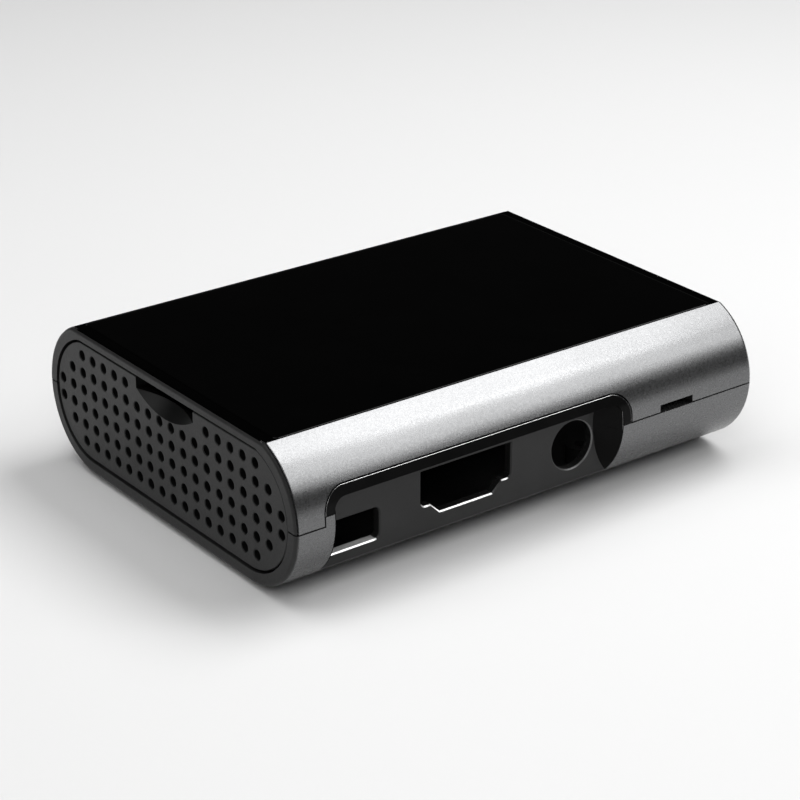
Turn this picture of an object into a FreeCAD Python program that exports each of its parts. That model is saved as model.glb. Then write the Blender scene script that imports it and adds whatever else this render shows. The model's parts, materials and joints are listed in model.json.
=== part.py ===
import FreeCAD, Part
import os
import Sketcher
from math import atan2, sqrt

# Case for a single board computer. The grille end faces -X, the port side faces -Y.
# Every piece is drawn with the underside of the shell at Z = 0 and is then lifted onto its feet.

SIZES = {
    # outer form
    "case_length": 91.0,
    "case_width": 70.4,
    "case_height": 24.35,
    "crown_cut": 0.9,
    "wall": 2.1,
    "top_wall": 1.5,
    "end_round": 0.7,
    "seam_gap": 0.25,
    "rim_line_from_end": 0.28,
    "rim_line_width": 0.25,
    "rim_line_depth": 0.5,
    # gloss panel let into the top
    "ring_width": 2.2,
    "deck_margin": 0.25,
    "deck_thickness": 0.8,
    "deck_corner": 0.8,
    "deck_gap": 0.1,
    "deck_edge": 0.25,
    # end panels in their grooves
    "panel_gap": 0.3,
    "panel_setback": 0.2,
    "panel_thickness": 1.8,
    "flange_thickness": 0.8,
    "flange_height": 1.0,
    "flange_rim": 1.0,
    "slide_fit": 0.15,
    # grille
    "hole_diameter": 1.7,
    "hole_margin": 4.04,
    "row_low_margin": 5.15,
    "row_high_margin": 4.1,
    "notch_width": 16.2,
    "notch_drop": 3.9,
    "scoop_width": 15.8,
    "scoop_drop": 2.3,
    "scoop_reach": 1.75,
    # port recess
    "recess_from_front": 6.93,
    "rear_share": 0.3085,
    "recess_depth": 3.9,
    "strip_width": 1.6,
    "strip_gap": 0.25,
    "strip_rise": 5.33,
    "strip_corner": 3.85,
    "port_thickness": 1.5,
    "left_slope": 0.05,
    "right_slope": 0.75,
    "tab_height": 1.45,
    "ear_width": 1.2,
    "ear_low": 6.8,
    "ear_drop": 0.4,
    "opening_edge": 0.2,
    # board, which leaves these gaps to the case's ends and to the port panel
    "board_front_gap": 2.15,
    "board_rear_gap": 3.85,
    "board_side_gap": 1.8,
    "board_seat": 5.2,
    "board_thickness": 1.4,
    "post_from_edge": 3.5,
    "post_from_rear": 23.5,
    "post_diameter": 5.2,
    "post_bore": 2.2,
    "post_bore_depth": 4.0,
    # port openings
    "power_margin": 0.77,
    "power_width": 10.1,
    "power_low": 5.3,
    "power_height": 5.2,
    "power_corner": 1.0,
    "video_offset": 0.53,
    "video_width": 17.5,
    "video_foot": 10.2,
    "video_shoulder_width": 13.8,
    "video_low": 6.2,
    "video_shoulder": 7.9,
    "video_side_low": 8.8,
    "video_high": 13.8,
    "audio_from_recess": 7.28,
    "audio_height": 9.8,
    "audio_diameter": 8.2,
    "audio_rim": 0.45,
    # rear openings
    "network_width": 17.0,
    "network_head": 1.9,
    "usb_head": 1.1,
    "rear_margin": 1.75,
    "rear_bar": 3.2,
    "rear_corner": 0.8,
    # pegs that hold the cover, and the lip that guides it
    "peg_from_end": 8.5,
    "peg_from_side": 5.1,
    "peg_post_diameter": 5.2,
    "peg_diameter": 3.0,
    "peg_clearance": 0.1,
    "peg_length": 5.0,
    "peg_spare_depth": 1.0,
    "lip_thickness": 1.0,
    "lip_height": 1.8,
    "lip_root": 2.5,
    "lip_gap": 0.5,
    # pry slots at the seam
    "slot_from_rear": 13.25,
    "slot_length": 7.0,
    "slot_height": 1.15,
    # floor
    "vent_width": 2.0,
    "vent_clear": 0.7,
    "vent_pitch": 7.0,
    "foot_from_end": 11.0,
    "foot_from_side": 17.9,
    "foot_diameter": 8.6,
    "foot_thickness": 1.4,
    "foot_proud": 0.8,
    "foot_edge": 0.3,
    "foot_gap": 0.1,
}
VENT_COUNT = 7
ROW_COUNTS = (16, 18, 20, 20, 18, 16)
NOTCH_COLUMNS = 6

doc = FreeCAD.newDocument("board_case")
sheet = doc.addObject("Spreadsheet::Sheet", "Dims")
for row, (alias, number) in enumerate(SIZES.items(), start=1):
    sheet.set(f"A{row}", alias)
    sheet.set(f"B{row}", str(number))
    sheet.setAlias(f"B{row}", alias)
doc.recompute()


class Size:
    """A length together with the sheet formula that gives it."""

    def __init__(self, value, formula):
        self.value = float(value)
        self.formula = formula

    def __add__(self, other):
        other = as_size(other)
        return Size(self.value + other.value, f"({self.formula} + {other.formula})")

    def __sub__(self, other):
        other = as_size(other)
        return Size(self.value - other.value, f"({self.formula} - {other.formula})")

    def __mul__(self, other):
        other = as_size(other)
        return Size(self.value * other.value, f"({self.formula} * {other.formula})")

    def __truediv__(self, other):
        other = as_size(other)
        return Size(self.value / other.value, f"({self.formula} / {other.formula})")

    def __neg__(self):
        return Size(-self.value, f"(0 - {self.formula})")


def as_size(number):
    return number if isinstance(number, Size) else Size(number, repr(float(number)))


def root(size):
    return Size(sqrt(size.value), f"sqrt({size.formula})")


class Dims:
    """The sheet's cells, read by name."""

    def __getattr__(self, alias):
        return Size(sheet.get(alias), f"Dims.{alias}")


d = Dims()
ZERO = as_size(0)

half_length = d.case_length / 2
half_width = d.case_width / 2
side_radius = (d.case_height + d.crown_cut) / 2
arc_y = half_width - side_radius
seam = side_radius
inner_radius = side_radius - d.wall
crown = d.case_height - seam
deck_half = arc_y + root(side_radius * side_radius - crown * crown) - d.deck_margin
far_out = d.case_length * 2

recess_left = d.recess_from_front - half_length
recess_right = half_length - d.case_length * d.rear_share
cut_left = recess_left - d.strip_width - d.strip_gap
cut_right = recess_right + d.strip_width + d.strip_gap
strip_top = seam + d.strip_rise
cut_top = strip_top + d.strip_gap
port_face = half_width - d.recess_depth
port_back = port_face - d.port_thickness

board_y = -(port_back - d.board_side_gap)
board_top = d.board_seat + d.board_thickness
post_y = -board_y - d.post_from_edge
post_xs = (
    d.board_front_gap + d.post_from_edge - half_length,
    half_length - d.board_rear_gap - d.post_from_rear,
)

peg_x = half_length - d.peg_from_end
peg_y = half_width - d.peg_from_side
foot_x = half_length - d.foot_from_end
foot_y = half_width - d.foot_from_side
insert_depth = d.panel_setback + d.panel_thickness + d.flange_thickness


def bind(item, prop, size):
    item.setExpression(prop, size.formula)


def new_body(label):
    body = doc.addObject("PartDesign::Body", label)
    body.Label = label
    bind(body, "Placement.Base.z", d.foot_proud)
    return body


def new_sketch(body, name, role, offset=ZERO, shift=ZERO):
    """A sketch on one of the body's origin planes, moved along its normal by offset."""
    sketch = body.newObject("Sketcher::SketchObject", name)
    plane = [item for item in body.Origin.OriginFeatures if item.Role == role][0]
    sketch.AttachmentSupport = [(plane, "")]
    sketch.MapMode = "FlatFace"
    bind(sketch, "AttachmentOffset.Base.z", offset)
    bind(sketch, "AttachmentOffset.Base.x", shift)
    return sketch


def fix_number(sketch, kind, place, size):
    """Add one driving constraint and tie it to its formula."""
    index = sketch.addConstraint(Sketcher.Constraint(kind, *place, size.value))
    bind(sketch, f"Constraints[{index}]", size)


def fix_point(sketch, edge, end, x, y):
    for kind, size in (("DistanceX", x), ("DistanceY", y)):
        fix_number(sketch, kind, (-1, 1, edge, end), size)


def arc_through(start, end, radius):
    """The shorter arc from start to end, counterclockwise, as sketch geometry."""
    chord = end - start
    middle = start + chord * 0.5
    lift = sqrt(max(radius ** 2 - chord.Length ** 2 / 4, 0.0))
    centre = middle + FreeCAD.Vector(-chord.y, chord.x, 0).normalize() * lift
    low = atan2(start.y - centre.y, start.x - centre.x)
    high = atan2(end.y - centre.y, end.x - centre.x)
    return Part.ArcOfCircle(Part.Circle(centre, FreeCAD.Vector(0, 0, 1), radius), low, high)


def draw_path(sketch, corners):
    """A closed path: each corner is x, y and, where an arc follows, its radius.

    A positive radius turns left and a negative one turns right.
    """
    count = len(corners)
    points = [FreeCAD.Vector(as_size(c[0]).value, as_size(c[1]).value, 0) for c in corners]
    ends = []
    for index, corner in enumerate(corners):
        start, end = points[index], points[(index + 1) % count]
        if len(corner) == 2:
            edge = sketch.addGeometry(Part.LineSegment(start, end))
            ends.append((edge, 1, 2))
        elif corner[2].value > 0:
            edge = sketch.addGeometry(arc_through(start, end, corner[2].value))
            ends.append((edge, 1, 2))
        else:
            edge = sketch.addGeometry(arc_through(end, start, -corner[2].value))
            ends.append((edge, 2, 1))
    for index, corner in enumerate(corners):
        edge, first, last = ends[index]
        following, opening, closing = ends[(index + 1) % count]
        sketch.addConstraint(Sketcher.Constraint("Coincident", edge, last, following, opening))
        fix_point(sketch, edge, first, as_size(corner[0]), as_size(corner[1]))
        if len(corner) == 3:
            radius = corner[2] if corner[2].value > 0 else -corner[2]
            fix_number(sketch, "Radius", (edge,), radius)


def draw_rectangle(sketch, left, right, low, high):
    draw_path(sketch, [(left, low), (right, low), (right, high), (left, high)])


def draw_rounded(sketch, left, right, low, high, corner):
    """A rectangle with four rounded corners."""
    draw_path(sketch, [
        (left + corner, low), (right - corner, low, corner),
        (right, low + corner), (right, high - corner, corner),
        (right - corner, high), (left + corner, high, corner),
        (left, high - corner), (left, low + corner, corner),
    ])


def draw_arch(sketch, left, right, low, high, corner):
    """A rectangle whose two upper corners are rounded."""
    draw_path(sketch, [
        (left, low), (right, low), (right, high - corner, corner),
        (right - corner, high), (left + corner, high, corner), (left, high - corner),
    ])


def draw_circle(sketch, x, y, diameter):
    centre = FreeCAD.Vector(x.value, y.value, 0)
    circle = Part.Circle(centre, FreeCAD.Vector(0, 0, 1), diameter.value / 2)
    edge = sketch.addGeometry(circle)
    fix_point(sketch, edge, 3, x, y)
    fix_number(sketch, "Diameter", (edge,), diameter)


def side_y(radius, z):
    """How far out the side arc of this radius lies at height z."""
    return arc_y + root(radius * radius - (z - seam) * (z - seam))


def draw_profile(sketch, inset, top_inset):
    """The case's end outline, taken in by inset, with its flat top at top_inset."""
    radius = side_radius - inset
    top = d.case_height - top_inset
    crease = side_y(radius, top)
    draw_path(sketch, [
        (-arc_y, inset), (arc_y, inset, radius), (crease, top), (-crease, top, radius),
    ])


def draw_side_strip(sketch, side, outer, inner, low, high):
    """A curved strip of the side wall between two radii; side is 1 or -1."""
    out_low, out_high = side_y(outer, low) * side, side_y(outer, high) * side
    in_low, in_high = side_y(inner, low) * side, side_y(inner, high) * side
    if side > 0:
        corners = [(out_low, low, outer), (out_high, high), (in_high, high, -inner), (in_low, low)]
    else:
        corners = [(out_high, high, outer), (out_low, low), (in_low, low, -inner), (in_high, high)]
    draw_path(sketch, corners)


def swell(body, sketch, length, backwards=False):
    """Pad a sketch along its normal, or against it."""
    pad = body.newObject("PartDesign::Pad", f"{sketch.Name}_pad")
    pad.Profile = sketch
    bind(pad, "Length", length)
    pad.Reversed = backwards
    return pad


def cut(body, sketch, length, backwards=False):
    """Pocket a sketch along its normal, or against it."""
    pocket = body.newObject("PartDesign::Pocket", f"{sketch.Name}_cut")
    pocket.Profile = sketch
    bind(pocket, "Length", length)
    pocket.Reversed = not backwards
    return pocket


def both_ways(feature):
    feature.SideType = "Symmetric"
    return feature


def flat_edges(shape, axis, place, near=None, reach=0.0):
    """Names of the edges in the plane where axis equals place.

    With near, only edges that lie wholly within reach of that point are named.
    """
    names = []
    for number, edge in enumerate(shape.Edges, start=1):
        box = edge.BoundBox
        level = max(abs(getattr(box, f"{axis}Min") - place), abs(getattr(box, f"{axis}Max") - place))
        ends = edge.discretize(5)
        if level < 0.001 and (near is None or max(near.distanceToPoint(p) for p in ends) < reach):
            names.append(f"Edge{number}")
    return names


def soften(body, base, kind, prop, names, size):
    """Fillet or chamfer the named edges of a finished feature."""
    feature = body.newObject(f"PartDesign::{kind}", f"{base.Name}_edges")
    feature.Base = (base, names)
    bind(feature, prop, size)
    return feature


def open_shell(name):
    """A body with the case's outer form, open from end to end, with grooves for the end panels."""
    body = new_body(name)
    outline = new_sketch(body, f"{name}_outline", "YZ_Plane")
    draw_profile(outline, ZERO, ZERO)
    both_ways(swell(body, outline, d.case_length))
    cavity = new_sketch(body, f"{name}_cavity", "YZ_Plane")
    draw_profile(cavity, d.wall, d.top_wall)
    tube = both_ways(cut(body, cavity, far_out))
    doc.recompute()

    # The wall's outer end edges are those that reach the very bottom or top.
    names = []
    for place in (-half_length.value, half_length.value):
        for edge_name in flat_edges(tube.Shape, "X", place):
            box = tube.Shape.getElement(edge_name).BoundBox
            if box.ZMin < 0.001 or box.ZMax > d.case_height.value - 0.001:
                names.append(edge_name)
    soften(body, tube, "Fillet", "Radius", names, d.end_round)
    near = d.panel_setback + d.panel_thickness - d.slide_fit
    width = d.flange_thickness + d.slide_fit * 2
    for end, backwards in ((-1, False), (1, True)):
        where = "front" if end < 0 else "rear"
        groove = new_sketch(body, f"{name}_{where}_groove", "YZ_Plane", (half_length - near) * end)
        draw_profile(groove, d.wall - d.flange_height, d.top_wall)
        cut(body, groove, width, backwards)
    return body


def trim_outside(body):
    """Cut off whatever stands out of the case's outer form."""
    sketch = new_sketch(body, f"{body.Name}_trim", "YZ_Plane")
    reach = d.case_width
    draw_rectangle(sketch, -reach, reach, -reach, reach)
    draw_profile(sketch, ZERO, ZERO)
    return both_ways(cut(body, sketch, far_out))


def peg_places():
    """The three corners that leave room for a peg."""
    return ((-1, 1), (1, 1), (1, -1))


def add_circles(body, name, places, diameter, offset, length, remove=False):
    """Round posts or bores on a level plane; a bore goes down, a post goes up."""
    sketch = new_sketch(body, name, "XY_Plane", offset)
    for x, y in places:
        draw_circle(sketch, x, y, diameter)
    return cut(body, sketch, length, True) if remove else swell(body, sketch, length)


def build_bottom_shell():
    body = open_shell("bottom_shell")
    rim = seam - d.seam_gap / 2

    upper_half = new_sketch(body, "bottom_upper_half", "YZ_Plane")
    draw_rectangle(upper_half, -d.case_width, d.case_width, rim, d.case_height * 2)
    both_ways(cut(body, upper_half, far_out))

    sunk = d.wall / 2
    pegs = [(peg_x * x, peg_y * y) for x, y in peg_places()]
    add_circles(body, "peg_posts", pegs, d.peg_post_diameter, sunk, rim - sunk)

    for name, left, right in (
        ("left_guide", cut_left, recess_left - d.slide_fit),
        ("right_guide", recess_right + d.slide_fit, cut_right),
    ):
        guide = new_sketch(body, name, "XY_Plane", sunk)
        front = -(port_back - d.slide_fit)
        draw_rectangle(guide, left, right, front, front + d.ear_width)
        swell(body, guide, rim - sunk)

    tab = new_sketch(body, "recess_tab", "YZ_Plane", cut_left + d.strip_gap)
    draw_side_strip(tab, -1, side_radius, inner_radius, seam - d.wall, seam + d.tab_height)
    swell(body, tab, d.strip_width)
    trim_outside(body)

    recess = new_sketch(body, "port_cut", "XZ_Plane", port_back - d.slide_fit)
    draw_rectangle(recess, recess_left, recess_right, -d.wall, d.case_height)
    cut(body, recess, d.case_width)

    posts = [(x, post_y * side) for x in post_xs for side in (-1, 1)]
    add_circles(body, "board_posts", posts, d.post_diameter, sunk, d.board_seat - sunk)
    add_circles(body, "board_bores", posts, d.post_bore, d.board_seat, d.post_bore_depth, True)
    bore = d.peg_diameter + d.peg_clearance * 2
    add_circles(body, "peg_bores", pegs, bore, rim, d.peg_length + d.peg_spare_depth, True)

    lip_outer = inner_radius - d.panel_gap
    lip_inner = lip_outer - d.lip_thickness
    lip_end = peg_x - d.peg_post_diameter / 2 - d.lip_gap
    for name, side, start in (("far", 1, -lip_end), ("near", -1, cut_right + d.wall)):
        lip_root = new_sketch(body, f"{name}_lip_root", "YZ_Plane", start)
        draw_side_strip(lip_root, side, inner_radius + d.wall / 2, lip_inner, seam - d.lip_root, rim)
        swell(body, lip_root, lip_end - start)
        lip = new_sketch(body, f"{name}_lip", "YZ_Plane", start)
        draw_side_strip(lip, side, lip_outer, lip_inner, seam - d.lip_root, seam + d.lip_height)
        swell(body, lip, lip_end - start)

    feet = [(foot_x * x, foot_y * y) for x in (-1, 1) for y in (-1, 1)]
    seat = d.foot_thickness - d.foot_proud
    seat_diameter = d.foot_diameter + d.foot_gap * 2
    add_circles(body, "foot_seats", feet, seat_diameter, seat, d.wall, True)

    vent = new_sketch(body, "vent", "XY_Plane", d.wall * 2)
    first = -d.vent_pitch * (VENT_COUNT - 1) / 2
    vent_end = foot_y - d.foot_diameter / 2 - d.vent_clear
    draw_rounded(vent, first - d.vent_width / 2, first + d.vent_width / 2,
                 -vent_end, vent_end, d.vent_width * 0.49)
    slot = cut(body, vent, d.wall * 4, True)
    repeat(body, slot, vent, d.vent_pitch * (VENT_COUNT - 1), VENT_COUNT)
    return body


def repeat(body, feature, sketch, length, count):
    """Repeat a feature along its sketch's horizontal axis."""
    pattern = body.newObject("PartDesign::LinearPattern", f"{feature.Name}_row")
    pattern.Originals = [feature]
    pattern.Direction = (sketch, ["H_Axis"])
    bind(pattern, "Length", length)
    pattern.Occurrences = count
    body.Tip = pattern
    return pattern


def build_top_cover():
    body = open_shell("top_cover")
    rim = seam + d.seam_gap / 2

    lower_half = new_sketch(body, "cover_lower_half", "YZ_Plane")
    draw_rectangle(lower_half, -d.case_width, d.case_width, -d.case_height, rim)
    both_ways(cut(body, lower_half, far_out))

    pegs = [(peg_x * x, peg_y * y) for x, y in peg_places()]
    ceiling = d.case_height - d.top_wall * 0.75
    add_circles(body, "cover_posts", pegs, d.peg_post_diameter, rim, ceiling - rim)
    trim_outside(body)
    peg_low = rim - d.peg_length
    add_circles(body, "cover_pegs", pegs, d.peg_diameter, peg_low, d.peg_length + d.wall)

    deck = new_sketch(body, "deck_recess", "XY_Plane", d.case_height - d.deck_thickness)
    deck_end = half_length - d.ring_width
    draw_rounded(deck, -deck_end, deck_end, -deck_half, deck_half, d.deck_corner)
    cut(body, deck, d.wall * 2)

    opening = new_sketch(body, "port_arch", "XZ_Plane", port_back - d.slide_fit)
    draw_arch(opening, cut_left, cut_right, ZERO, cut_top, d.strip_corner + d.strip_gap)
    cut(body, opening, d.case_width)

    # A fine groove parts the front rim from the side skin.
    for name, side in (("near_rim_line", -1), ("far_rim_line", 1)):
        line = new_sketch(body, name, "YZ_Plane", d.rim_line_from_end - half_length)
        outer, inner = side_radius + d.rim_line_depth, side_radius - d.rim_line_depth
        draw_side_strip(line, side, outer, inner, seam, d.case_height)
        cut(body, line, d.rim_line_width)

    slots = new_sketch(body, "pry_slots", "XZ_Plane")
    slot_end = half_length - d.slot_from_rear
    draw_rectangle(slots, slot_end - d.slot_length, slot_end, ZERO, rim + d.slot_height)
    both_ways(cut(body, slots, far_out))
    return body


def build_deck_panel():
    body = new_body("deck_panel")
    outline = new_sketch(body, "deck_outline", "XY_Plane", d.case_height - d.deck_thickness)
    end = half_length - d.ring_width - d.deck_gap
    side = deck_half - d.deck_gap
    draw_rounded(outline, -end, end, -side, side, d.deck_corner)
    panel = swell(body, outline, d.deck_thickness)
    doc.recompute()
    names = flat_edges(panel.Shape, "Z", d.case_height.value)
    soften(body, panel, "Fillet", "Radius", names, d.deck_edge)
    return body


def end_panel(name, end):
    """The plate and rear flange that both end panels share; end is -1 or 1."""
    body = new_body(name)
    backwards = end > 0
    face = new_sketch(body, f"{name}_face", "YZ_Plane", (half_length - d.panel_setback) * end)
    draw_profile(face, d.wall + d.panel_gap, d.top_wall + d.panel_gap)
    swell(body, face, d.panel_thickness, backwards)
    back = (half_length - d.panel_setback - d.panel_thickness) * end
    flange = new_sketch(body, f"{name}_flange", "YZ_Plane", back)
    draw_profile(flange, d.wall - d.flange_height + d.panel_gap, d.top_wall + d.panel_gap)
    swell(body, flange, d.flange_thickness, backwards)
    inside = d.wall + d.panel_gap + d.flange_rim
    relief = new_sketch(body, f"{name}_relief", "YZ_Plane", back)
    draw_profile(relief, inside, d.top_wall + d.panel_gap + d.flange_rim)
    cut(body, relief, d.flange_thickness, backwards)
    return body


def build_front_grille():
    body = end_panel("front_grille", -1)
    front = -(half_length - d.panel_setback)
    pitch = (half_width - d.hole_margin) * 2 / (max(ROW_COUNTS) - 1)
    top_row = d.case_height - d.row_high_margin
    row_pitch = (top_row - d.row_low_margin) / (len(ROW_COUNTS) - 1)

    for row, count in enumerate(ROW_COUNTS):
        z = top_row - row_pitch * row
        edge = pitch * ((count - 1) / 2)
        runs = [(-edge, count)]
        if row == 0:
            run = (count - NOTCH_COLUMNS) // 2
            runs = [(-edge, run), (edge - pitch * (run - 1), run)]
        for number, (start, holes) in enumerate(runs):
            sketch = new_sketch(body, f"hole_{row}_{number}", "YZ_Plane", front)
            draw_circle(sketch, start, z, d.hole_diameter)
            hole = cut(body, sketch, insert_depth)
            repeat(body, hole, sketch, pitch * (holes - 1), holes)

    ledge = d.case_height - d.notch_drop
    window = new_sketch(body, "notch_window", "YZ_Plane", front)
    draw_rectangle(window, -d.notch_width / 2, d.notch_width / 2, ledge, d.case_height)
    cut(body, window, insert_depth)

    # The finger scoop is a bowl that meets the front face and the ledge in two arcs.
    half = d.scoop_width / 2
    front_radius = (half * half + d.scoop_drop * d.scoop_drop) / (d.scoop_drop * 2)
    ahead = (half * half - d.scoop_reach * d.scoop_reach) / (d.scoop_reach * 2)
    bowl = root(front_radius * front_radius + ahead * ahead)
    centre_z = ledge - d.scoop_drop + front_radius
    scoop = new_sketch(body, "scoop", "XZ_Plane", ZERO, front - ahead)
    draw_path(scoop, [
        (ZERO, centre_z - bowl, bowl), (ahead + d.scoop_reach, ledge),
        (ZERO, ledge),
    ])
    groove = body.newObject("PartDesign::Groove", "scoop_cut")
    groove.Profile = scoop
    groove.ReferenceAxis = (scoop, ["V_Axis"])
    groove.Angle = 360
    return body


def build_rear_panel():
    body = end_panel("rear_panel", 1)
    start = board_y + d.rear_margin
    end = -start
    usb_start = start + d.network_width + d.rear_bar
    usb_width = (end - usb_start - d.rear_bar) / 2
    plate_top = d.case_height - d.top_wall - d.panel_gap
    openings = (
        ("network", start, start + d.network_width, plate_top - d.network_head),
        ("usb_near", usb_start, usb_start + usb_width, plate_top - d.usb_head),
        ("usb_far", end - usb_width, end, plate_top - d.usb_head),
    )
    for name, left, right, top in openings:
        sketch = new_sketch(body, f"{name}_opening", "YZ_Plane", half_length)
        draw_rounded(sketch, left, right, board_top, top, d.rear_corner)
        cut(body, sketch, insert_depth * 2, True)
    return body


def build_port_panel():
    body = new_body("port_panel")
    left = recess_left - d.strip_width
    right = recess_right + d.strip_width
    block = new_sketch(body, "port_block", "XZ_Plane", port_back)
    draw_arch(block, left, right, ZERO, strip_top, d.strip_corner)
    swell(body, block, d.case_width / 4)

    # Below its strip the panel is no wider than the recess between the shell's edges.
    low_left = new_sketch(body, "port_low_left", "XZ_Plane")
    tab_top = seam + d.tab_height + d.slide_fit
    draw_rectangle(low_left, left - d.wall, recess_left + d.slide_fit, -d.wall, tab_top)
    cut(body, low_left, d.case_width)
    low_right = new_sketch(body, "port_low_right", "XZ_Plane")
    draw_rectangle(low_right, recess_right - d.slide_fit, right + d.wall, -d.wall, seam)
    cut(body, low_right, d.case_width)

    mouth = new_sketch(body, "port_mouth", "XZ_Plane", port_face)
    draw_arch(mouth, recess_left, recess_right, -d.wall,
              strip_top - d.strip_width, d.strip_corner - d.strip_width)
    cut(body, mouth, d.case_width)

    # Ramps from the recess's ends down to the face: the side's segment, drawn inwards aslant.
    for name, place, slope in (
        ("left_ramp", recess_left + d.slide_fit, d.left_slope),
        ("right_ramp", recess_right - d.slide_fit, -d.right_slope),
    ):
        segment = new_sketch(body, name, "YZ_Plane", place)
        drop = port_face - arc_y
        low = seam - root(side_radius * side_radius - drop * drop)
        high = strip_top - d.strip_width / 2
        outer_high = -side_y(side_radius, high)
        draw_path(segment, [
            (outer_high, high, side_radius), (-port_face, low), (-port_face, high),
        ])
        slant = root(slope * slope + 1)
        ramp = swell(body, segment, (d.case_width / 2 - port_face) * slant)
        ramp.UseCustomVector = True
        ramp.Direction = FreeCAD.Vector(slope.value, 1, 0)
        bind(ramp, "Direction.x", slope)
        ramp.AlongSketchNormal = False

    behind = new_sketch(body, "port_behind", "XZ_Plane", port_back)
    draw_rectangle(behind, left - d.wall, right + d.wall, -d.wall, d.case_height)
    cut(body, behind, d.case_width, True)
    trim_outside(body)

    ear_depth = d.port_thickness - d.slide_fit
    for name, low_x, high_x in (
        ("left_ear", recess_left - d.ear_width, recess_left + d.wall),
        ("right_ear", recess_right - d.wall, recess_right + d.ear_width),
    ):
        ear = new_sketch(body, name, "XZ_Plane", port_back)
        draw_rectangle(ear, low_x, high_x, d.ear_low, seam - d.ear_drop)
        swell(body, ear, ear_depth)

    audio_x = recess_right - d.audio_from_recess
    rim = new_sketch(body, "audio_relief", "XZ_Plane", port_face)
    draw_circle(rim, audio_x, d.audio_height, d.audio_diameter + d.audio_rim * 2)
    cut(body, rim, d.case_width)

    power_x = recess_left + d.power_margin + d.power_width / 2
    video_x = (recess_left + recess_right) / 2 - d.video_offset
    audio = new_sketch(body, "audio_opening", "XZ_Plane")
    draw_circle(audio, audio_x, d.audio_height, d.audio_diameter)
    bevel(body, cut(body, audio, d.case_width), audio_x, d.audio_height, d.audio_diameter / 2)

    power = new_sketch(body, "power_opening", "XZ_Plane")
    draw_rounded(power, power_x - d.power_width / 2, power_x + d.power_width / 2,
                 d.power_low, d.power_low + d.power_height, d.power_corner)
    power_z = d.power_low + d.power_height / 2
    bevel(body, cut(body, power, d.case_width), power_x, power_z, d.power_width / 2 + d.power_corner)

    video = new_sketch(body, "video_opening", "XZ_Plane")
    half, shoulder, foot = d.video_width / 2, d.video_shoulder_width / 2, d.video_foot / 2
    step = d.video_side_low - d.video_shoulder
    draw_path(video, [
        (video_x - foot, d.video_low), (video_x + foot, d.video_low),
        (video_x + shoulder, d.video_shoulder),
        (video_x + half - step, d.video_shoulder, step),
        (video_x + half, d.video_side_low), (video_x + half, d.video_high),
        (video_x - half, d.video_high), (video_x - half, d.video_side_low, step),
        (video_x - half + step, d.video_shoulder), (video_x - shoulder, d.video_shoulder),
    ])
    video_z = (d.video_low + d.video_high) / 2
    bevel(body, cut(body, video, d.case_width), video_x, video_z, half + d.wall / 2)
    return body


def bevel(body, opening, x, z, reach):
    """Break the front edge of a port opening."""
    doc.recompute()
    middle = FreeCAD.Vector(x.value, -port_face.value, z.value)
    names = flat_edges(opening.Shape, "Y", middle.y, middle, reach.value + 0.01)
    soften(body, opening, "Chamfer", "Size", names, d.opening_edge)


def build_feet():
    feet = []
    for number, (x, y) in enumerate(((-1, -1), (-1, 1), (1, -1), (1, 1)), start=1):
        body = new_body(f"foot_{number}")
        sketch = new_sketch(body, f"foot_{number}_outline", "XY_Plane", -d.foot_proud)
        draw_circle(sketch, foot_x * x, foot_y * y, d.foot_diameter)
        pad = swell(body, sketch, d.foot_thickness)
        doc.recompute()
        names = flat_edges(pad.Shape, "Z", -d.foot_proud.value)
        soften(body, pad, "Fillet", "Radius", names, d.foot_edge)
        feet.append(body)
    return feet


pieces = [
    build_bottom_shell(),
    build_top_cover(),
    build_deck_panel(),
    build_front_grille(),
    build_rear_panel(),
    build_port_panel(),
] + build_feet()
doc.recompute()

for item in doc.Objects:
    faults = [state for state in item.State if state in ("Invalid", "Error")]
    if faults:
        raise RuntimeError(f"{item.Name} did not build: {faults}")

os.makedirs("parts", exist_ok=True)
for piece in pieces:
    if piece.Shape.isNull() or not piece.Shape.isValid():
        raise RuntimeError(f"{piece.Label} has no valid shape")
    piece.Shape.exportStep(f"parts/{piece.Label}.step")
    print(piece.Label, len(piece.Shape.Solids), "solid", round(piece.Shape.Volume, 1), "mm3")
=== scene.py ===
import json
from math import asin, cos, pi, radians, sin, sqrt

import bmesh
import bpy
from mathutils import Matrix, Vector

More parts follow.
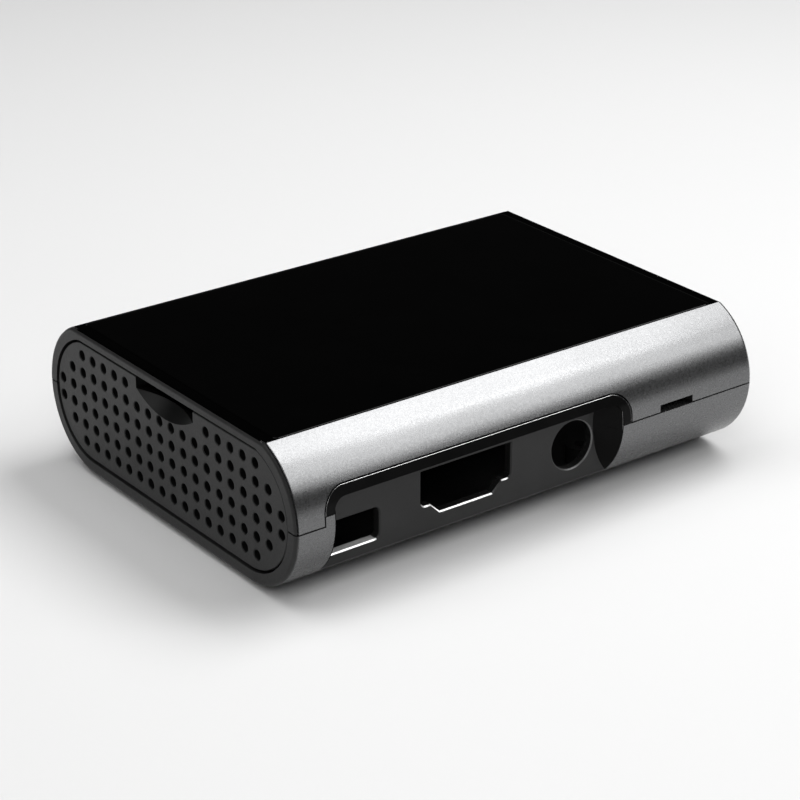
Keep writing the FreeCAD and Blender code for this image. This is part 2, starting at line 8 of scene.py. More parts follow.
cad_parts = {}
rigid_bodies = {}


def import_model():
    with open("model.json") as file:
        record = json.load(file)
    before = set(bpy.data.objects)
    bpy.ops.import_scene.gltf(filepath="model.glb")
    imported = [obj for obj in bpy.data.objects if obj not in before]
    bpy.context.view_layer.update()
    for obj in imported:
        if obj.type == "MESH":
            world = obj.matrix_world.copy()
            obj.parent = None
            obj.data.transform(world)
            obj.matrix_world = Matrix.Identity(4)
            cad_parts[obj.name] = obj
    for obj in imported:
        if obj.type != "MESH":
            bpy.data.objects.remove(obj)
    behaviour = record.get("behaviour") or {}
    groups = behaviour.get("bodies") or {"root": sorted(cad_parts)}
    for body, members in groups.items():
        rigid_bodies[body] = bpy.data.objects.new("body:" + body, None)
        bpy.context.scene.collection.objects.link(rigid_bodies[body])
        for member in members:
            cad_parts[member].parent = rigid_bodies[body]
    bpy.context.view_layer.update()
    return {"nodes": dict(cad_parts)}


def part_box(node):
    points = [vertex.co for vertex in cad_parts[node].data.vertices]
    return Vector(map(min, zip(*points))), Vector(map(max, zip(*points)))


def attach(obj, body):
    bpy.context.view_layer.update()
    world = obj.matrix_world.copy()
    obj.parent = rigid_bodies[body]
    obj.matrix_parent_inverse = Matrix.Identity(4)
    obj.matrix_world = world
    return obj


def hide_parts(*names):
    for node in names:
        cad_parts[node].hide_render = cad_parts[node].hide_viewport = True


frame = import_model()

bl_info = {
    "name": "Board case",
    "version": (1, 0, 0),
    "blender": (4, 5, 0),
    "location": "View3D > Sidebar > Case",
    "description": "Finishes a board's case: shells, gloss deck, grille, ports, feet and stage",
    "category": "Object",
}

MM = 0.001

# Places on the case in millimetres, in the frame's own axes: X from the grille to the rear,
# Y from the port side to the far side, Z up.
END_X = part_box("top_cover")[1].x / MM
HALF_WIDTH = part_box("bottom_shell")[1].y / MM
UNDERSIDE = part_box("bottom_shell")[0].z / MM
DECK_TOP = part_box("deck_panel")[1].z / MM
GRILLE_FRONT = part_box("front_grille")[0].x / MM

# The section is a pill whose round sides meet a flat top in a crease.
CROWN_CUT = 0.9
SIDE_RADIUS = (DECK_TOP - UNDERSIDE + CROWN_CUT) / 2
ARC_Y = HALF_WIDTH - SIDE_RADIUS
SEAM = UNDERSIDE + SIDE_RADIUS
CREASE_Y = ARC_Y + sqrt(SIDE_RADIUS ** 2 - (DECK_TOP - SEAM) ** 2)

# The dark front rim, the recessed port face with its openings, and the seam behind its arch.
RIM_WIDTH = 0.52
PAINT_START = -END_X + RIM_WIDTH
PORT_RECESS = 3.9
PORT_FACE = -(HALF_WIDTH - PORT_RECESS)
STRIP_MIDDLE = -10.57
POWER_END = -26.0
AUDIO_PLACE = (10.15, UNDERSIDE + 9.8)
AUDIO_RADIUS = 4.1
JOINT_START = 14.0

# How far a face's middle may lie from a place and still belong to it, in millimetres. The
# softened edges lie a little inside the outer form.
TOP_DEPTH = 0.15
SKIN_DEPTH = 0.14
RIM_MARGIN = 0.15
END_DEPTH = 0.3
END_SKIN = 0.7
JOINT_HEIGHT = 0.3

# Angles in degrees: what counts as flat, and the sharpest edge that is still smoothed.
FLAT_WITHIN = 0.4
SHELL_EDGE = 32.0
DECK_EDGE = 50.0
ROUND_EDGE = 30.0

# How finely curves are cut, how deep the grille's cutters are in millimetres, the fewest faces
# of a grille whose holes are there, and how near, in metres, points are merged.
ARC_STEPS = 30
HOLE_SIDES = 28
BALL_SIDES = 256
FOOT_SIDES = 48
FOOT_EDGE_STEPS = 4
HOLE_CUT = 20.0
FEWEST_FACES = 1000
MERGE_GAP = 2e-6
# The dish under a foot, in shares of the foot's radius: its flat part, and its rim.
DISH_FLAT, DISH_RIM = 0.62, 0.72

# Material indices of the shells and of the port panel.
SKIN, MOULDING, RIM, TOP = range(4)
# The port panel's last four indices hold painted highlights on its black plastic.
PORT_SATIN, PORT_GLOSS, PORT_WALL, STRIP_HIGHLIGHT, AUDIO_HIGHLIGHT, SILL_HIGHLIGHT, POWER_SILL_HIGHLIGHT = range(7)

# The range that most of a noise's values fall in.
NOISE_LOW, NOISE_HIGH = 0.3, 0.7
# The mix node's colour sockets, which share their names with its number and vector ones.
MIX_FIRST, MIX_SECOND, MIX_RESULT = 6, 7, 2

# Each softbox's name, place, the point it faces, width and depth in metres, power in watts.
SOFTBOXES = (
    ("key", (0.312, -0.028, 0.522), (0.0, 0.0, 0.0), 0.42, 0.31, 2.9),
    ("near", (0.312, -0.325, 0.385), (0.0, 0.0, 0.0), 0.30, 0.30, 1.3),
    ("overhead", (-0.14, 0.14, 0.62), (0.0, 0.0, 0.0), 0.5, 0.5, 2.6),
    ("left", (-0.8, 0.45, 0.55), (0.0, 0.0, 0.0), 0.5, 0.5, 1.2),
    ("front", (-0.28, -0.30, 0.30), (0.0, -0.02, 0.0), 0.25, 0.25, 0.6),
)
WORLD_STRENGTH = 0.02
FLOOR_REACH = 4.0

CAMERA_PLACE = (-0.219405, -0.288463, 0.174344)
CAMERA_RIGHT = (0.7965983, -0.6045061, 0.0018746)
CAMERA_UP = (0.24854482, 0.3303478, 0.91054698)
CAMERA_BACK = (-0.55105046, -0.72487427, 0.41340136)
SENSOR_WIDTH = 36.0
FOCAL_PIXELS = 2416.1
FRAME_PIXELS = 800.0


def length(name, description, default):
    """A size given in millimetres and kept in metres."""
    return bpy.props.FloatProperty(
        name=name, description=description, default=default * MM,
        min=0.0, max=0.2, precision=5, subtype="DISTANCE", unit="LENGTH")


def count(name, description, default):
    return bpy.props.IntProperty(
        name=name, description=description, default=default, min=2, max=60)


def colour(name, description, grey):
    """A plain colour; a single number gives a grey."""
    tint = grey if isinstance(grey, tuple) else (grey, grey, grey)
    return bpy.props.FloatVectorProperty(
        name=name, description=description, default=tint,
        size=3, min=0.0, max=1.0, subtype="COLOR")


class CaseSizes(bpy.types.PropertyGroup):
    edge_break: length("Edge break", "Width of the softened edges on the moulded shells", 0.12)
    fine_edge: length("Fine edge", "Width of the softened edges on the port panel", 0.08)
    strip_edge: length("Strip edge", "Width of the rounded edge round the ports' strip", 0.38)
    plate_inset: length("Plate inset", "From the case's side to the grille plate's edge", 2.48)
    plate_drop: length("Plate drop", "From the case's top to the grille plate's edge", 1.95)
    plate_depth: length("Plate depth", "Thickness of the grille plate", 1.8)
    flange_depth: length("Flange depth", "Thickness of the rim behind the grille plate", 0.8)
    flange_height: length("Flange height", "How far that rim stands out of the plate's edge", 1.0)
    columns: count("Columns", "Holes in a full row of the grille", 20)
    rows: count("Rows", "Rows of holes in the grille", 6)
    corner_reach: bpy.props.FloatProperty(
        name="Corner reach", default=10.2, min=0.0,
        description="Holes more columns and rows than this from the middle, added up, are left out")
    hole_diameter: length("Hole diameter", "Diameter of the grille's round holes", 1.7)
    hole_margin: length("Hole margin", "From the case's side to the outermost holes' centres", 4.04)
    hole_bevel: length("Hole bevel", "Width of the bevel round the plate and each hole", 0.12)
    row_low: length("Lowest row", "Height of the lowest row above the underside", 5.15)
    row_high: length("Highest row", "Height of the highest row above the underside", 20.25)
    notch_width: length("Notch width", "Width of the finger notch", 16.2)
    notch_ledge: length("Notch ledge", "Height of the notch's ledge above the underside", 20.45)
    scoop_width: length("Scoop width", "Width of the scoop under the notch", 15.8)
    scoop_drop: length("Scoop drop", "How far the scoop reaches below the ledge", 2.3)
    scoop_reach: length("Scoop reach", "How far the scoop goes into the plate", 1.75)
    foot_edge: length("Foot edge", "Radius of the feet's lower edge", 0.3)
    foot_dish: length("Foot dish", "Depth of the shallow dish under each foot", 0.15)


class CaseColours(bpy.types.PropertyGroup):
    silver: colour("Silver", "Silver paint on the sides", (0.155, 0.156, 0.158))
    moulding: colour("Moulding", "Bare moulding inside the shells", 0.012)
    rim: colour("Rim", "Satin rims at the shells' ends", 0.010)
    grille: colour("Grille", "Satin plate with the round holes", 0.012)
    deck: colour("Deck", "Gloss panel on the top", 0.0003)
    ports: colour("Ports", "Satin face behind the port openings", 0.010)
    # This colour is also painted shade on the grille's scoop and hole walls.
    strip: colour("Strip", "Gloss strip and ramps round the ports", 0.004)
    # The strip's edge colour is a painted highlight: light grey on the black gloss strip, standing
    # for light caught on its rounded upper edge.
    edge: colour("Edge", "Polished edge of the strip over the ports", 0.48)
    # A painted highlight: grey standing for light caught on the audio opening's bevelled edge in
    # the black panel.
    audio_highlight: colour("Audio edge", "Edge of the audio opening", 0.14)
    # A painted highlight: near-white standing for light caught on the lips at the foot of the power
    # and video openings.
    sill: colour("Sill", "Bright edge at the foot of the power and video openings", 0.85)
    # A painted highlight: light grey standing for light falling on the floor of the power opening
    # in the black panel.
    power_sill_highlight: colour("Power sill", "Light floor of the power opening", 0.45)
    rubber: colour("Rubber", "Feet", 0.018)
    floor: colour("Floor", "Floor that the case stands on", 0.62)


def settings(context):
    return context.scene.case_sizes, context.scene.case_colours


# Materials

def new_material(name):
    """A node material with only a Principled surface; returns it with its tree and shader."""
    material = bpy.data.materials.new(name)
    material.use_nodes = True
    tree = material.node_tree
    tree.nodes.clear()
    output = tree.nodes.new("ShaderNodeOutputMaterial")
    shader = tree.nodes.new("ShaderNodeBsdfPrincipled")
    tree.links.new(shader.outputs["BSDF"], output.inputs["Surface"])
    return material, tree, shader


def add(tree, kind, links=None, **values):
    """A node with its options and inputs set; links maps its inputs to other nodes' outputs."""
    node = tree.nodes.new(kind)
    for key, value in values.items():
        if key in node.inputs:
            node.inputs[key].default_value = value
        else:
            setattr(node, key, value)
    for key, source in (links or {}).items():
        tree.links.new(source, node.inputs[key])
    return node


def feed(tree, socket, value, plain=float):
    """Set a socket to a value of the plain type, or link another node's output to it."""
    if isinstance(value, plain):
        socket.default_value = value
    else:
        tree.links.new(value, socket)


def calc(tree, operation, first, second=0.0):
    """The result of an operation on one or two numbers or sockets."""
    node = add(tree, "ShaderNodeMath", operation=operation)
    for socket, value in zip(node.inputs, (first, second)):
        feed(tree, socket, value)
    return node.outputs["Value"]


def object_point(tree):
    return add(tree, "ShaderNodeTexCoord").outputs["Object"]


def noise(tree, point, scale, detail=2.0, roughness=0.5):
    """Noise over object space; scale counts waves in a metre."""
    return add(tree, "ShaderNodeTexNoise", {"Vector": point},
               Scale=scale, Detail=detail, Roughness=roughness).outputs["Fac"]


def ramp(tree, source, low, high, to_low=0.0, to_high=1.0):
    """A clamped straight map from low..high to to_low..to_high."""
    node = add(tree, "ShaderNodeMapRange", {"Value": source})
    ends = (("From Min", low), ("From Max", high), ("To Min", to_low), ("To Max", to_high))
    for key, value in ends:
        node.inputs[key].default_value = value
    return node.outputs["Result"]


def swing(tree, source, to_low=0.0, to_high=1.0):
    """The usual range of a noise, mapped to to_low..to_high."""
    return ramp(tree, source, NOISE_LOW, NOISE_HIGH, to_low, to_high)


def tinted(rgb, factor=1.0):
    return tuple(min(1.0, channel * factor) for channel in rgb) + (1.0,)


def mix_colour(tree, share, first, second):
    node = add(tree, "ShaderNodeMix", data_type="RGBA")
    tree.links.new(share, node.inputs["Factor"])
    feed(tree, node.inputs[MIX_FIRST], first, tuple)
    feed(tree, node.inputs[MIX_SECOND], second, tuple)
    return node.outputs[MIX_RESULT]


def mottle(tree, shader, share, rgb, dark, light):
    """Let the base colour wander between dark and light times the colour."""
    mixed = mix_colour(tree, share, tinted(rgb, dark), tinted(rgb, light))
    tree.links.new(mixed, shader.inputs["Base Color"])


def bump(tree, shader, height, strength, distance):
    node = add(tree, "ShaderNodeBump", {"Height": height}, Strength=strength, Distance=distance)
    tree.links.new(node.outputs["Normal"], shader.inputs["Normal"])


def satin_plastic(name, rgb, roughness=0.42):
    """Spark-eroded moulded plastic: fine grain, and a little unevenness in its shine."""
    material, tree, shader = new_material(name)
    point = object_point(tree)
    cloud = noise(tree, point, 140.0, 3.0)
    speck = noise(tree, point, 2600.0, 2.0, 0.6)
    mottle(tree, shader, swing(tree, cloud), rgb, 0.75, 1.25)
    rough = swing(tree, speck, roughness - 0.05, roughness + 0.07)
    tree.links.new(rough, shader.inputs["Roughness"])
    shader.inputs["Specular IOR Level"].default_value = 0.32
    bump(tree, shader, speck, 0.35, 0.012 * MM)
    return material


def gloss_plastic(name, rgb, roughness, shine):
    """Polished plastic with faint handling haze."""
    material, tree, shader = new_material(name)
    haze = noise(tree, object_point(tree), 90.0, 4.0, 0.6)
    low, high = 0.35, 0.75
    mottle(tree, shader, ramp(tree, haze, low, high), rgb, 1.0, 1.6)
    rough = ramp(tree, haze, low, high, roughness, roughness + 0.05)
    tree.links.new(rough, shader.inputs["Roughness"])
    shader.inputs["Specular IOR Level"].default_value = shine
    return material


def silver_over_rim(name, silver, rim, softness):
    """Metallic paint with a sandy sparkle, ending in an uneven edge at the dark front rim.

    The paint fades into the rim over softness, in metres, to each side of its edge.
    """
    material, tree, shader = new_material(name)
    point = object_point(tree)
    along = add(tree, "ShaderNodeSeparateXYZ", {"Vector": point}).outputs["X"]
    waver = swing(tree, noise(tree, point, 900.0), -0.4 * softness, 0.4 * softness)
    start = PAINT_START * MM
    painted = ramp(tree, calc(tree, "ADD", along, waver), start - softness, start + softness)

    flake = noise(tree, point, 5200.0, 2.0, 0.7)
    grain = noise(tree, point, 2400.0, 3.0, 0.65)
    cloud = noise(tree, point, 60.0)
    glitter = ramp(tree, flake, 0.25, 0.75, -0.10, 0.10)
    sparkle = calc(tree, "ADD", glitter, swing(tree, cloud, -0.02, 0.02))
    share = ramp(tree, sparkle, -0.12, 0.12)
    paint = mix_colour(tree, share, tinted(silver, 0.82), tinted(silver, 1.18))
    tree.links.new(mix_colour(tree, painted, tinted(rim), paint), shader.inputs["Base Color"])
    tree.links.new(ramp(tree, painted, 0.0, 1.0, 0.0, 0.92), shader.inputs["Metallic"])

    paint_rough = swing(tree, grain, 0.24, 0.32)
    rim_rough = ramp(tree, painted, 0.0, 1.0, 0.42, 0.0)
    tree.links.new(calc(tree, "MAXIMUM", paint_rough, rim_rough), shader.inputs["Roughness"])
    bump(tree, shader, calc(tree, "ADD", grain, flake), 0.35, 0.010 * MM)
    return material


def painted_highlight(name, rgb, metallic=1.0, roughness=0.22):
    """A painted highlight: a light, metal-like colour with fine scratches, standing for light
    caught on edges and floors of black plastic.
    """
    material, tree, shader = new_material(name)
    grain = noise(tree, object_point(tree), 2200.0, 3.0)
    mottle(tree, shader, swing(tree, grain), rgb, 0.9, 1.08)
    rough = swing(tree, grain, roughness, roughness + 0.1)
    tree.links.new(rough, shader.inputs["Roughness"])
    shader.inputs["Metallic"].default_value = metallic
    return material


def rubber(name, rgb):
    """Dull, grainy rubber."""
    material, tree, shader = new_material(name)
    grain = noise(tree, object_point(tree), 1800.0, 3.0)
    mottle(tree, shader, swing(tree, grain), rgb, 0.8, 1.3)
    tree.links.new(swing(tree, grain, 0.68, 0.85), shader.inputs["Roughness"])
    bump(tree, shader, grain, 0.5, 0.02 * MM)
    return material


def matte_floor(name, rgb):
    material, tree, shader = new_material(name)
    cloud = noise(tree, object_point(tree), 3.0)
    mottle(tree, shader, swing(tree, cloud), rgb, 0.99, 1.01)
    shader.inputs["Roughness"].default_value = 0.9
    shader.inputs["Specular IOR Level"].default_value = 0.0
    return material


# Meshes

def link(name, mesh):
    obj = bpy.data.objects.new(name, mesh)
    bpy.context.scene.collection.objects.link(obj)
    return obj


def shell_mesh(node):
    """A clean copy of a frame node's mesh, with its flat faces whole and its triangles joined."""
    mesh = frame["nodes"][node].data.copy()
    mesh.materials.clear()
    work = bmesh.new()
    work.from_mesh(mesh)
    bmesh.ops.remove_doubles(work, verts=work.verts, dist=MERGE_GAP)
    bmesh.ops.dissolve_limit(
        work, angle_limit=radians(FLAT_WITHIN), verts=work.verts, edges=work.edges)
    work.to_mesh(mesh)
    work.free()
    if "custom_normal" in mesh.attributes:
        mesh.attributes.remove(mesh.attributes["custom_normal"])
    mesh.update()
    return mesh


def closed_mesh(work, name):
    """The closed surface in work as a mesh, with its faces turned outwards."""
    bmesh.ops.recalc_face_normals(work, faces=work.faces)
    mesh = bpy.data.meshes.new(name)
    work.to_mesh(mesh)
    work.free()
    return mesh


def baked(obj):
    """Work the object's modifiers into its mesh."""
    bpy.context.view_layer.update()
    graph = bpy.context.evaluated_depsgraph_get()
    mesh = bpy.data.meshes.new_from_object(obj.evaluated_get(graph))
    mesh.name = obj.name
    obj.modifiers.clear()
    obj.data = mesh
    return obj


def smooth(mesh, angle):
    """Smooth shading, but sharp at every edge over the angle in degrees."""
    for polygon in mesh.polygons:
        polygon.use_smooth = True
    mesh.set_sharp_from_angle(angle=radians(angle))


def even_shading(obj, weight):
    """Let large faces set the shading of small ones beside them; 50 is no weight, 100 most."""
    weighted = obj.modifiers.new("Even shading", "WEIGHTED_NORMAL")
    weighted.keep_sharp = True
    weighted.weight = weight


def on_crease(point):
    """Whether a point lies where the flat top meets the curved sides."""
    return abs(point.z / MM - DECK_TOP) < 0.01 and abs(abs(point.y) / MM - CREASE_Y) < 0.05


def soften(obj, width):
    """Break the sharp edges, keep the top's crease crisp and smooth what is left by angle."""
    smooth(obj.data, SHELL_EDGE)
    points = obj.data.vertices
    for edge in obj.data.edges:
        if all(on_crease(points[index].co) for index in edge.vertices):
            edge.use_edge_sharp = True
    bevel = obj.modifiers.new("Edge break", "BEVEL")
    bevel.width = width
    bevel.segments = 2
    bevel.limit_method = "ANGLE"
    bevel.angle_limit = radians(SHELL_EDGE)
    even_shading(obj, 80)
    return baked(obj)


def finish_piece(obj, body, nodes, materials, choose=None):
    """Paint the piece's faces, tie it to its body, and hide the nodes that it stands for."""
    for material in materials:
        obj.data.materials.append(material)
    if choose:
        for polygon in obj.data.polygons:
            if polygon.material_index == 0:
                polygon.material_index = choose(polygon.center / MM, polygon.normal)
    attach(obj, body)
    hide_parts(*nodes)


def depth_inside(point):
    """How far a point lies inside the case's outer form, in millimetres."""
    over = abs(point.y) - ARC_Y
    flat = min(point.z - UNDERSIDE, DECK_TOP - point.z)
    if over <= 0.0:
        return flat
    height = point.z - SEAM
    return min(SIDE_RADIUS - sqrt(over * over + height * height), DECK_TOP - point.z)


def shell_finish(centre, normal):
    """The finish of a shell's face, from its middle in millimetres and its normal.

    The painted skin includes the seam's own faces behind the port arch.
    """
    beside_deck = abs(centre.y) < CREASE_Y and normal.z > 0.3
    if centre.z > DECK_TOP - TOP_DEPTH and (beside_deck or normal.z > 0.98):
        return TOP
    end_face = abs(centre.x) > END_X - END_DEPTH and abs(normal.x) > 0.7
    if centre.x < PAINT_START - RIM_MARGIN or end_face:
        return RIM
    at_seam = abs(centre.z - SEAM) < JOINT_HEIGHT and abs(normal.z) > 0.9
    joint_face = at_seam and centre.x > JOINT_START and centre.y < 0.0
    outside = depth_inside(centre) < SKIN_DEPTH or abs(centre.x) > END_X - END_SKIN
    return SKIN if outside or joint_face else MOULDING


# Shells and deck

def painted_shell(context, body, node, softness, *more):
    """A shell with its silver skin, bare moulding and dark rims, and more finishes after them."""
    sizes, colours = settings(context)
    obj = soften(link(f"{body}_shell", shell_mesh(node)), sizes.edge_break)
    materials = (
        silver_over_rim(f"{body} silver", colours.silver, colours.rim, softness),
        satin_plastic(f"{body} moulding", colours.moulding),
        satin_plastic(f"{body} rim", colours.rim),
    )
    finish_piece(obj, body, (node,), materials + more, shell_finish)


class CASE_OT_base(bpy.types.Operator):
    """Lower shell: painted skin, dark rims, bare inside"""
    bl_idname = "case.base"
    bl_label = "Base"

    def execute(self, context):
        painted_shell(context, "base", "bottom_shell", 0.11 * MM)
        return {"FINISHED"}


class CASE_OT_cover(bpy.types.Operator):
    """Upper shell: painted skin, dark rims, bare inside, gloss border beside the deck"""
    bl_idname = "case.cover"
    bl_label = "Cover"

    def execute(self, context):
        border = gloss_plastic("cover top", context.scene.case_colours.deck, 0.12, 0.02)
        painted_shell(context, "cover", "top_cover", 0.02 * MM, border)
        return {"FINISHED"}


class CASE_OT_deck(bpy.types.Operator):
    """Gloss panel let into the top"""
    bl_idname = "case.deck"
    bl_label = "Deck"

    def execute(self, context):
        obj = link("deck_inlay", shell_mesh("deck_panel"))
        smooth(obj.data, DECK_EDGE)
        even_shading(obj, 50)
        baked(obj)
        gloss = gloss_plastic("deck gloss", context.scene.case_colours.deck, 0.10, 0.08)
        finish_piece(obj, "cover", ("deck_panel",), (gloss,))
        return {"FINISHED"}


# Rear and port panels

class CASE_OT_rear(bpy.types.Operator):
    """Rear panel with the network and data openings"""
    bl_idname = "case.rear"
    bl_label = "Rear panel"

    def execute(self, context):
        sizes, colours = settings(context)
        obj = soften(link("rear_plate", shell_mesh("rear_panel")), sizes.edge_break)
        satin = satin_plastic("rear satin", colours.grille)
        finish_piece(obj, "base", ("rear_panel",), (satin,))
        return {"FINISHED"}


def port_finish(centre, normal):
    """The finish of a port panel's face, from its middle in millimetres and its normal.

    Only the strip's rounded edge, which carries a painted highlight, is not chosen here: it is
    marked when it is made.
    """
    if centre.y < PORT_FACE - 0.05:
        return PORT_GLOSS
    slanted = -0.95 < normal.y < -0.2
    above_foot = centre.z > UNDERSIDE + 1.0
    ring = Vector((centre.x - AUDIO_PLACE[0], centre.z - AUDIO_PLACE[1])).length
    on_audio_edge = AUDIO_RADIUS - 0.1 < ring < AUDIO_RADIUS + 0.25
    off_audio = ring > AUDIO_RADIUS + 1.0
    # The audio opening's bevelled edge gets a painted highlight.
    if slanted and on_audio_edge and centre.y < PORT_FACE + 0.3:
        return AUDIO_HIGHLIGHT
    # Upward slanted lips at the foot of the openings get a painted highlight.
    if slanted and normal.z > 0.3 and normal.x > -0.25 and above_foot and off_audio:
        return SILL_HIGHLIGHT
    if normal.x < -0.9 and centre.y < PORT_FACE + 2.5 and off_audio:
        return PORT_SATIN
    # The power opening's floor gets a painted highlight.
    power_floor = normal.z > 0.95 and above_foot and centre.x < POWER_END
    if power_floor and centre.y < PORT_FACE + 1.6:
        return POWER_SILL_HIGHLIGHT
    return PORT_SATIN if normal.y < -0.6 else PORT_WALL


def round_strip_edge(mesh, width):
    """Round the strip's upper outer edge, and mark the rounding for its painted highlight."""
    work = bmesh.new()
    work.from_mesh(mesh)
    work.normal_update()
    edges = []
    for edge in work.edges:
        if len(edge.link_faces) != 2 or edge.calc_length() < 1e-6:
            continue
        middle = (edge.verts[0].co + edge.verts[1].co) / 2 / MM
        normals = [face.normal for face in edge.link_faces]
        walls = [normal for normal in normals if abs(normal.y) < 0.02 and normal.z > -0.1]
        skins = [normal for normal in normals if normal.y < -0.5]
        if depth_inside(middle) < 0.02 and middle.z > SEAM and walls and skins:
            outward = walls[0].x * (middle.x - STRIP_MIDDLE) >= 0.0
            if outward or walls[0].z > 0.5:
                edges.append(edge)
    bmesh.ops.bevel(work, geom=edges, offset=width, segments=2, affect="EDGES", profile=0.5,
                    clamp_overlap=True, material=STRIP_HIGHLIGHT)
    work.to_mesh(mesh)
    work.free()
    return mesh


def darken_gap_side(mesh):
    """Give the half of the strip's rounding beside the silver the gloss black of the gap there."""
    for polygon in mesh.polygons:
        if polygon.material_index == STRIP_HIGHLIGHT and polygon.normal.y > -0.55:
            polygon.material_index = PORT_GLOSS


class CASE_OT_ports(bpy.types.Operator):
    """Port panel: gloss strip and ramps, satin face, painted highlights on its edges and sills"""
    bl_idname = "case.ports"
    bl_label = "Port panel"

    def execute(self, context):
        sizes, colours = settings(context)
        mesh = round_strip_edge(shell_mesh("port_panel"), sizes.strip_edge)
        obj = soften(link("port_fascia", mesh), sizes.fine_edge)
        darken_gap_side(obj.data)
        materials = (
            satin_plastic("port satin", colours.ports, 0.38),
            gloss_plastic("port gloss", colours.strip, 0.14, 0.05),
            gloss_plastic("port wall", colours.rim, 0.25, 0.5),
            # The last four finishes are painted highlights on the panel's black plastic, not metal.
            painted_highlight("strip painted highlight", colours.edge),
            painted_highlight("audio painted highlight", colours.audio_highlight, 0.6, 0.4),
            painted_highlight("port sill painted highlight", colours.sill, 0.6, 0.35),
            painted_highlight("power sill painted highlight", colours.power_sill_highlight, 0.0, 0.5),
        )
        finish_piece(obj, "base", ("port_panel",), materials, port_finish)
        return {"FINISHED"}


# Geometry nodes

def new_nodes(name, inputs):
    """An empty geometry tree with the named inputs; returns it with its input and output nodes."""
    tree = bpy.data.node_groups.new(name, "GeometryNodeTree")
    for label, kind in inputs:
        tree.interface.new_socket(label, in_out="INPUT", socket_type=f"NodeSocket{kind}")
    tree.interface.new_socket("Geometry", in_out="OUTPUT", socket_type="NodeSocketGeometry")
    return tree, tree.nodes.new("NodeGroupInput").outputs, tree.nodes.new("NodeGroupOutput")


def with_nodes(obj, tree, values):
    """The object's mesh after the tree, with the tree's inputs set by their identifiers."""
    modifier = obj.modifiers.new(tree.name, "NODES")
    modifier.node_group = tree
    for item in tree.interface.items_tree:
        if item.item_type == "SOCKET" and item.in_out == "INPUT" and item.name in values:
            modifier[item.identifier] = values[item.name]
    return baked(obj)


def real(tree, geometry):
    return add(tree, "GeometryNodeRealizeInstances", {"Geometry": geometry}).outputs["Geometry"]


def close_nodes(tree, geometry, material, result):
    """End the tree with its instances made real and its material set."""
    painted = add(tree, "GeometryNodeSetMaterial", {
        "Geometry": real(tree, geometry), "Material": material})
    tree.links.new(painted.outputs["Geometry"], result.inputs["Geometry"])
    return tree


def boolean(tree, operation, first, *others):
    """A boolean of closed meshes: others are taken from first, or all are crossed."""
    node = add(tree, "GeometryNodeMeshBoolean", operation=operation, solver="MANIFOLD")
    if operation == "DIFFERENCE":
        tree.links.new(first, node.inputs["Mesh 1"])
    else:
        others = (first,) + others
    for other in others:
        tree.links.new(other, node.inputs["Mesh 2"])
    return node.outputs["Mesh"]


def vector(tree, x, y, z):
    """A vector from three numbers or sockets."""
    node = tree.nodes.new("ShaderNodeCombineXYZ")
    for socket, value in zip(node.inputs, (x, y, z)):
        feed(tree, socket, value)
    return node.outputs["Vector"]


def moved(tree, geometry, place, turn=(0.0, 0.0, 0.0)):
    node = add(tree, "GeometryNodeTransform", {"Geometry": geometry, "Translation": place},
               Rotation=turn)
    return node.outputs["Geometry"]


def half(tree, value):
    return calc(tree, "MULTIPLY", value, 0.5)


def hole_places(tree, got):
    """The grid's points, less those past its cut corners and those in the notch."""
    grid = add(tree, "GeometryNodeMeshGrid", {
        "Size X": got["Span"], "Size Y": got["Rise"],
        "Vertices X": got["Columns"], "Vertices Y": got["Rows"]})
    position = tree.nodes.new("GeometryNodeInputPosition").outputs["Position"]
    spot = add(tree, "ShaderNodeSeparateXYZ", {"Vector": position})
    pitch = calc(tree, "DIVIDE", got["Span"], calc(tree, "SUBTRACT", got["Columns"], 1.0))
    row_pitch = calc(tree, "DIVIDE", got["Rise"], calc(tree, "SUBTRACT", got["Rows"], 1.0))
    across = calc(tree, "ABSOLUTE", spot.outputs["X"])
    columns_away = calc(tree, "DIVIDE", across, pitch)
    rows_away = calc(tree, "DIVIDE", calc(tree, "ABSOLUTE", spot.outputs["Y"]), row_pitch)
    steps_away = calc(tree, "ADD", columns_away, rows_away)
    beyond = calc(tree, "GREATER_THAN", steps_away, got["Reach"])
    under_top_row = calc(tree, "SUBTRACT", half(tree, got["Rise"]), half(tree, row_pitch))
    in_top_row = calc(tree, "GREATER_THAN", spot.outputs["Y"], under_top_row)
    half_notch = calc(tree, "ADD", half(tree, got["Notch width"]), got["Hole radius"])
    over_notch = calc(tree, "LESS_THAN", across, half_notch)
    in_notch = calc(tree, "MULTIPLY", in_top_row, over_notch)
    left_out = calc(tree, "MAXIMUM", beyond, in_notch)
    return add(tree, "GeometryNodeDeleteGeometry", {
        "Geometry": grid.outputs["Mesh"], "Selection": left_out}).outputs["Geometry"]


def hole_cutters(tree, got):
    """The holes' bores and their flared mouths, turned to the plate's front."""
    places = hole_places(tree, got)
    bore = add(tree, "GeometryNodeMeshCylinder", {
        "Radius": got["Hole radius"], "Depth": got["Cut depth"]}, Vertices=HOLE_SIDES)
    flare = calc(tree, "MULTIPLY", got["Mouth"], 2.0)
    mouth = add(tree, "GeometryNodeMeshCone", {
        "Radius Top": got["Hole radius"],
        "Radius Bottom": calc(tree, "ADD", got["Hole radius"], flare),
        "Depth": flare}, Vertices=HOLE_SIDES)
    ahead = vector(tree, 0.0, 0.0, calc(tree, "MULTIPLY", got["Mouth"], -1.0))
    centre = vector(tree, got["Front"], 0.0, got["Middle"])
    cutters = []
    for tool in (bore.outputs["Mesh"], moved(tree, mouth.outputs["Mesh"], ahead)):
        row = add(tree, "GeometryNodeInstanceOnPoints", {"Points": places, "Instance": tool})
        turned = moved(tree, row.outputs["Instances"], centre, (pi / 2, 0.0, pi / 2))
        cutters.append(real(tree, turned))
    return cutters


